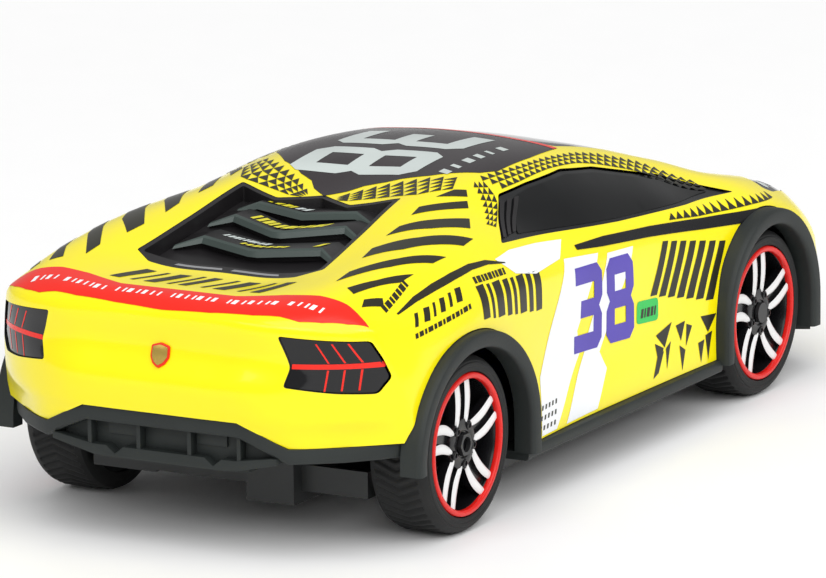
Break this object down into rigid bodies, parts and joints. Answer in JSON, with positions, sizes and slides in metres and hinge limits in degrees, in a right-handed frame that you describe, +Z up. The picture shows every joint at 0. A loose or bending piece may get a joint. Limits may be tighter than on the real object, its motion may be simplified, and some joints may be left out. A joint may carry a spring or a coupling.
{
  "type": "remote control road car",
  "caption": "Toy remote control road car: printed wedge body shell on a chassis with geared rear axle, steered front wheels and spoked road wheels.",
  "frame": {"origin": "centre of the car's bounding box in plan, on the ground plane under the tyres", "axes": "+X forward, +Y to the car's left, +Z up"},
  "size_m": [0.2863, 0.127, 0.0829],
  "materials": {
    "yellow_shell": "gloss",
    "smoke_glass": "gloss",
    "cover_black": "satin",
    "lamp_red": "gloss",
    "lamp_clear": "gloss",
    "badge_gold": "gloss",
    "trim_black": "matt",
    "chassis_black": "matt",
    "steel": "satin",
    "black_steel": "satin",
    "bush_bronze": "satin",
    "brass_gear": "satin",
    "gear_white": "satin",
    "rim_black": "gloss",
    "ring_red": "gloss",
    "tyre_rubber": "matt",
    "battery_blue": "gloss",
    "board_green": "satin",
    "part_black": "satin",
    "led_clear": "gloss",
    "wire_red": "satin",
    "wire_black": "satin"
  },
  "bodies": {
    "chassis": {"body_shell": "yellow_shell", "windscreen": "smoke_glass", "side_window_left": "smoke_glass", "side_window_right": "smoke_glass", "engine_cover": "cover_black", "tail_lamp_left": "lamp_red", "tail_lamp_right": "lamp_red", "headlamp_left": "lamp_clear", "headlamp_right": "lamp_clear", "rear_badge": "badge_gold", "side_skirt_left": "trim_black", "side_skirt_right": "trim_black", "rear_valance": "trim_black", "rear_diffuser": "trim_black", "front_splitter": "trim_black", "chassis_tub": "chassis_black", "gearbox_case": "chassis_black", "gearbox_cover": "chassis_black", "motor_can": "steel", "axle_bushes": "bush_bronze", "idler_pin": "steel", "front_top_plate": "chassis_black", "servo_case": "part_black", "battery_pack": "battery_blue", "circuit_board": "board_green", "board_parts": "part_black", "front_leds": "led_clear", "battery_lead": "wire_red", "motor_leads": "wire_red", "antenna_wire": "wire_black", "body_screws": "steel", "gearbox_screws": "steel"},
    "rear_axle": {"rear_axle": "steel", "axle_gear": "gear_white", "rear_rim_left": "rim_black", "rear_rim_right": "rim_black", "rear_ring_left": "ring_red", "rear_ring_right": "ring_red", "rear_tyre_left": "tyre_rubber", "rear_tyre_right": "tyre_rubber", "rear_wheel_nuts": "black_steel"},
    "idler": {"idler_gear": "gear_white"},
    "motor_rotor": {"motor_shaft": "steel", "motor_pinion": "brass_gear"},
    "knuckle_left": {"knuckle_left": "chassis_black", "front_screw_left": "black_steel"},
    "knuckle_right": {"knuckle_right": "chassis_black", "front_screw_right": "black_steel"},
    "front_wheel_left": {"front_rim_left": "rim_black", "front_ring_left": "ring_red", "front_tyre_left": "tyre_rubber"},
    "front_wheel_right": {"front_rim_right": "rim_black", "front_ring_right": "ring_red", "front_tyre_right": "tyre_rubber"},
    "tie_rod": {"tie_rod": "chassis_black"},
    "servo_horn": {"servo_horn": "gear_white"},
    "switch_knob": {"switch_knob": "part_black"},
    "trim_lever": {"trim_lever": "part_black"},
    "battery_door": {"battery_door": "chassis_black"}
  },
  "joints": [
    {"name": "rear_axle_spin", "type": "hinge", "parent": "chassis", "child": "rear_axle", "pos_m": [-0.089, 0, 0.0232], "axis": [0, 1, 0], "continuous": true},
    {"name": "idler_spin", "type": "hinge", "parent": "chassis", "child": "idler", "pos_m": [-0.0714, -0.016, 0.0232], "axis": [0, 1, 0], "continuous": true},
    {"name": "motor_spin", "type": "hinge", "parent": "chassis", "child": "motor_rotor", "pos_m": [-0.0576, -0.013, 0.0232], "axis": [0, 1, 0], "continuous": true},
    {"name": "steer_left", "type": "hinge", "parent": "chassis", "child": "knuckle_left", "pos_m": [0.081, 0.038, 0.0232], "axis": [0, 0, 1], "range_deg": [-20, 20]},
    {"name": "steer_right", "type": "hinge", "parent": "chassis", "child": "knuckle_right", "pos_m": [0.081, -0.038, 0.0232], "axis": [0, 0, 1], "range_deg": [-20, 20]},
    {"name": "front_left_spin", "type": "hinge", "parent": "knuckle_left", "child": "front_wheel_left", "pos_m": [0.081, 0.05, 0.0232], "axis": [0, 1, 0], "continuous": true},
    {"name": "front_right_spin", "type": "hinge", "parent": "knuckle_right", "child": "front_wheel_right", "pos_m": [0.081, -0.05, 0.0232], "axis": [0, 1, 0], "continuous": true},
    {"name": "tie_rod_slide", "type": "slide", "parent": "chassis", "child": "tie_rod", "axis": [0, 1, 0], "range_m": [-0.0045, 0.0045]},
    {"name": "servo_turn", "type": "hinge", "parent": "chassis", "child": "servo_horn", "pos_m": [0.057, 0, 0.033], "axis": [0, 0, 1], "range_deg": [-20, 20]},
    {"name": "power_switch", "type": "slide", "parent": "chassis", "child": "switch_knob", "axis": [1, 0, 0], "range_m": [0, 0.003]},
    {"name": "steering_trim", "type": "hinge", "parent": "chassis", "child": "trim_lever", "pos_m": [0.057, -0.022, 0.008], "axis": [0, 0, 1], "range_deg": [-15, 15]},
    {"name": "battery_door_slide", "type": "slide", "parent": "chassis", "child": "battery_door", "axis": [-1, 0, 0], "range_m": [0, 0.006]}
  ],
  "couplings": [
    {"joint": "idler_spin", "follows": "rear_axle_spin", "ratio": -2.6667},
    {"joint": "motor_spin", "follows": "rear_axle_spin", "ratio": 9.6},
    {"joint": "steer_right", "follows": "steer_left", "ratio": 1},
    {"joint": "tie_rod_slide", "follows": "steer_left", "m_per_rad": -0.012},
    {"joint": "servo_turn", "follows": "steer_left", "ratio": -1}
  ]
}
